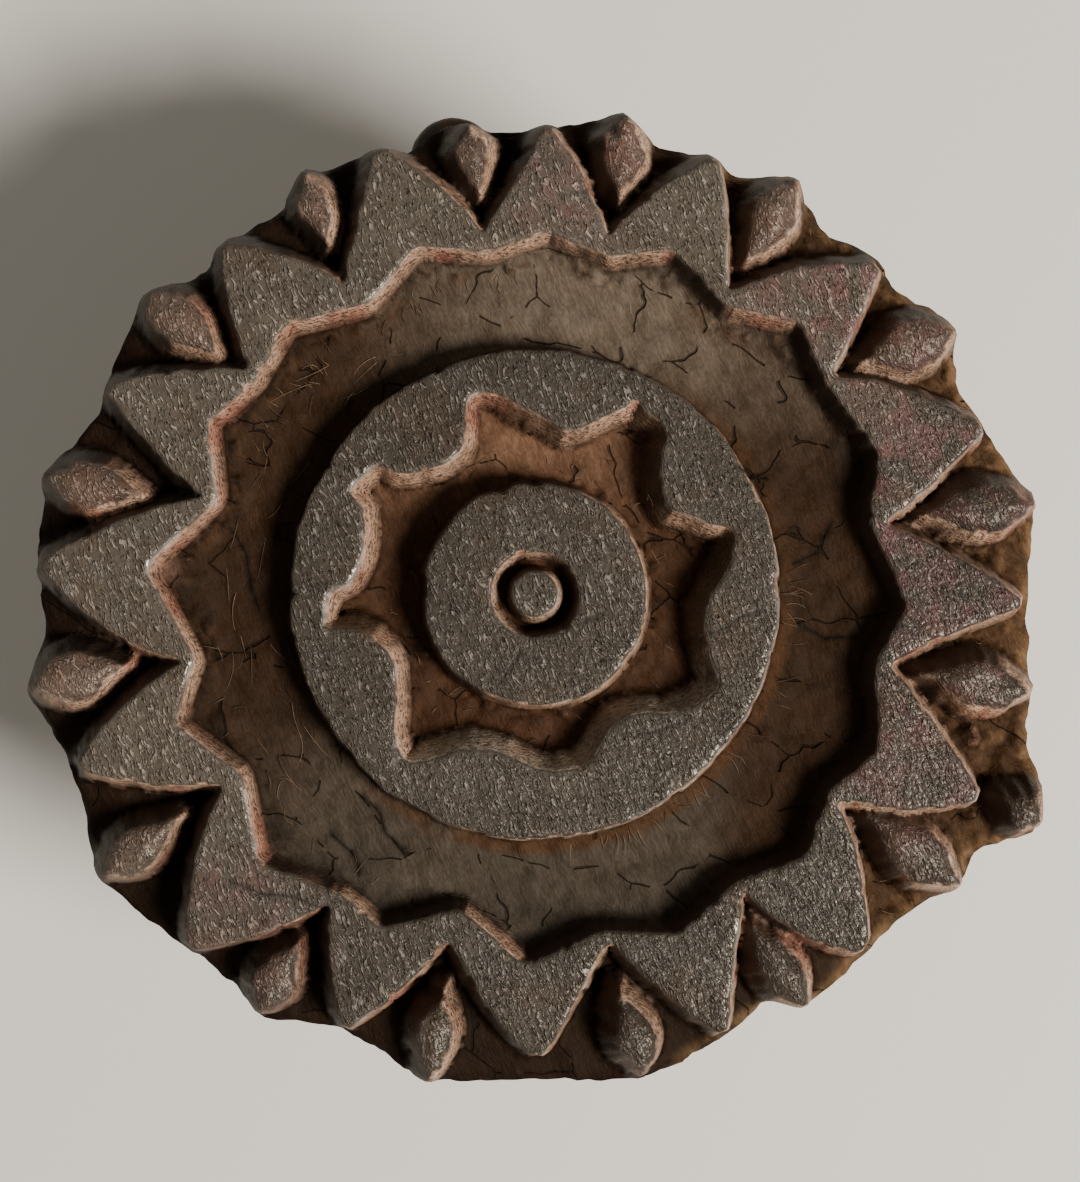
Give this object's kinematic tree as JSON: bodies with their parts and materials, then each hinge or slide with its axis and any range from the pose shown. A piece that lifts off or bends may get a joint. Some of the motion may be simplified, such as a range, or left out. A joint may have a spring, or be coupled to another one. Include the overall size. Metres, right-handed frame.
{
  "type": "butter mold",
  "caption": "Round carved wooden butter stamp on a turned handle, with a ring of leaves, a star recess, a centre dot and a wire hanging eye.",
  "frame": {"origin": "centre of the flat foot of the handle, on which the stamp stands with its print up", "axes": "+Z out of the carved print face, along the handle; +Y towards the side with the hanging eye; +X completes the right-hand frame"},
  "size_m": [0.1037, 0.1009, 0.082],
  "materials": {
    "disc_wood": "dark, open-pored, worn and greasy",
    "handle_wood": "turned, dark, polished by hands",
    "peg_wood": "end grain, cut flush",
    "wire": "dull, oxidised grey-green"
  },
  "bodies": {
    "stamp": {"print_disc": "disc_wood", "handle": "handle_wood", "cross_peg": "peg_wood"},
    "eye": {"hanging_eye": "wire"}
  },
  "joints": [
    {"name": "eye_turn", "type": "hinge", "parent": "stamp", "child": "eye", "pos_m": [-0.0074, 0.04033, 0.062], "axis": [-0.1805, 0.9836, 0], "range_deg": [-90, 90]}
  ]
}
